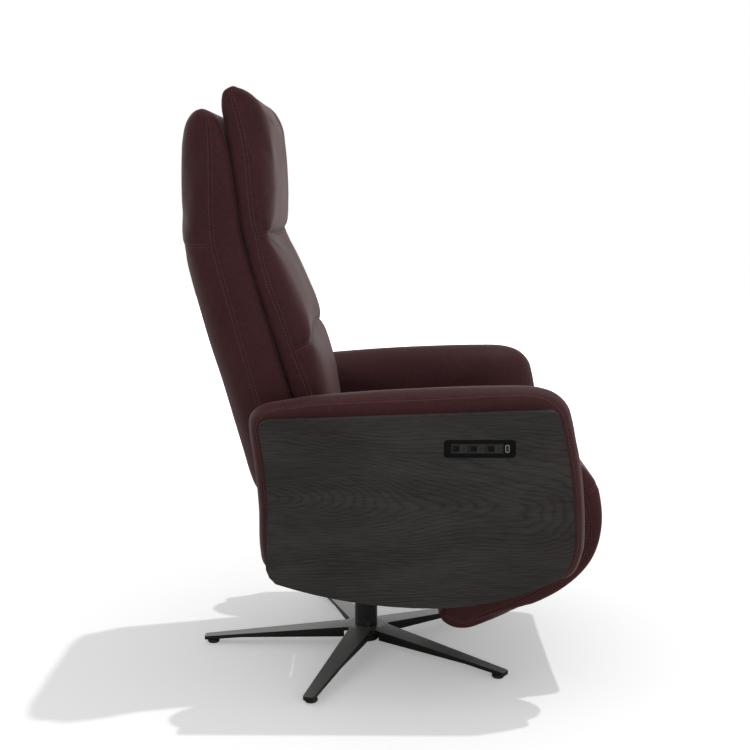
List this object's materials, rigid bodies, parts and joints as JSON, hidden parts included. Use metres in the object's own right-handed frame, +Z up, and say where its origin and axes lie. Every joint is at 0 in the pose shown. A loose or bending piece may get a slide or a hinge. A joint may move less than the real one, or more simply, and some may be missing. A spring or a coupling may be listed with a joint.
{
  "type": "recliner",
  "caption": "Motor recliner with adjustable back, head and leg rest, leather pads, oak side panels and a swivel star base.",
  "frame": {"origin": "on the floor, on the swivel axis at the centre of the star base", "axes": "+Z up, the chair faces -Y, the sitter's right arm with the switches is at -X"},
  "size_m": [0.769, 0.8343, 1.1902],
  "materials": {
    "burgundy_leather": "satin",
    "dark_oak": "matte",
    "plywood": "matte",
    "graphite_aluminium": "satin",
    "black_enamel": "gloss",
    "black_powder_coat": "matte",
    "bright_steel": "satin",
    "white_nylon": "satin",
    "black_plastic": "satin",
    "grey_plastic": "satin",
    "glide_plastic": "matte",
    "elastic_webbing": "matte"
  },
  "bodies": {
    "base": {"star_base": "graphite_aluminium", "base_glides": "glide_plastic", "column_tube": "black_enamel", "swivel_bushes": "white_nylon", "thrust_bearing_lower": "bright_steel"},
    "seat": {"thrust_bearing_upper": "bright_steel", "swivel_spindle": "bright_steel", "spindle_washer": "black_powder_coat", "swivel_plate": "black_powder_coat", "plate_bolts": "bright_steel", "arm_brackets": "black_powder_coat", "seat_side_rails": "black_powder_coat", "seat_cross_rails": "black_powder_coat", "hinge_plates": "black_powder_coat", "back_pivot_pins": "bright_steel", "leg_pivot_pin": "bright_steel", "seat_springs": "bright_steel", "seat_cushion": "burgundy_leather", "arm_board_left": "plywood", "arm_board_right": "plywood", "arm_pad_left": "burgundy_leather", "arm_pad_right": "burgundy_leather", "side_panel_left": "dark_oak", "side_panel_right": "dark_oak", "panel_screws": "bright_steel", "switch_plate": "black_plastic", "switch_housing": "black_plastic", "usb_socket": "grey_plastic", "control_box": "black_plastic", "back_motor": "black_plastic", "motor_bracket": "black_powder_coat", "leg_motor": "black_plastic"},
    "rocker_a": {"rocker_back": "black_plastic"},
    "rocker_b": {"rocker_legs": "black_plastic"},
    "rocker_c": {"rocker_head": "black_plastic"},
    "rod": {"motor_rod": "bright_steel"},
    "back": {"back_side_tubes": "black_powder_coat", "back_cross_tubes": "black_powder_coat", "back_bushes": "white_nylon", "back_lever": "black_powder_coat", "lever_pin": "bright_steel", "back_webbing": "elastic_webbing", "back_shell": "burgundy_leather", "lumbar_cushion": "burgundy_leather", "lower_back_cushion": "burgundy_leather", "head_ears": "black_powder_coat", "head_pivot_pin": "bright_steel", "head_motor": "black_plastic"},
    "head": {"head_hinge_tube": "black_powder_coat", "head_bushes": "white_nylon", "head_uprights": "black_powder_coat", "head_top_rail": "black_powder_coat", "head_shell": "burgundy_leather", "head_cushion": "burgundy_leather"},
    "legs": {"leg_torque_tube": "black_powder_coat", "leg_bushes": "white_nylon", "leg_arms": "black_powder_coat", "leg_board": "plywood", "leg_pad": "burgundy_leather"}
  },
  "joints": [
    {"name": "swivel", "type": "hinge", "parent": "base", "child": "seat", "pos_m": [0, 0, 0.282], "axis": [0, 0, 1], "continuous": true},
    {"name": "back_recline", "type": "hinge", "parent": "seat", "child": "back", "pos_m": [0, 0.13, 0.44], "axis": [-1, 0, 0], "range_deg": [0, 40]},
    {"name": "motor_rod_slide", "type": "slide", "parent": "seat", "child": "rod", "axis": [0, -1, 0], "range_m": [0, 0.0823]},
    {"name": "head_tilt", "type": "hinge", "parent": "back", "child": "head", "pos_m": [0, 0.23865, 0.90009], "axis": [1, 0, 0], "range_deg": [0, 20]},
    {"name": "leg_lift", "type": "hinge", "parent": "seat", "child": "legs", "pos_m": [0, -0.405, 0.385], "axis": [-1, 0, 0], "range_deg": [0, 115]},
    {"name": "rocker_back_tilt", "type": "hinge", "parent": "seat", "child": "rocker_a", "pos_m": [-0.3765, -0.1789, 0.521], "axis": [0, 0, 1], "range_deg": [-5, 5], "stiffness_Nm_per_rad": 0.3},
    {"name": "rocker_legs_tilt", "type": "hinge", "parent": "seat", "child": "rocker_b", "pos_m": [-0.3765, -0.2115, 0.521], "axis": [0, 0, 1], "range_deg": [-5, 5], "stiffness_Nm_per_rad": 0.3},
    {"name": "rocker_head_tilt", "type": "hinge", "parent": "seat", "child": "rocker_c", "pos_m": [-0.3765, -0.2441, 0.521], "axis": [0, 0, 1], "range_deg": [-5, 5], "stiffness_Nm_per_rad": 0.3}
  ],
  "couplings": [
    {"joint": "motor_rod_slide", "follows": "back_recline", "m_per_rad": 0.11758}
  ]
}
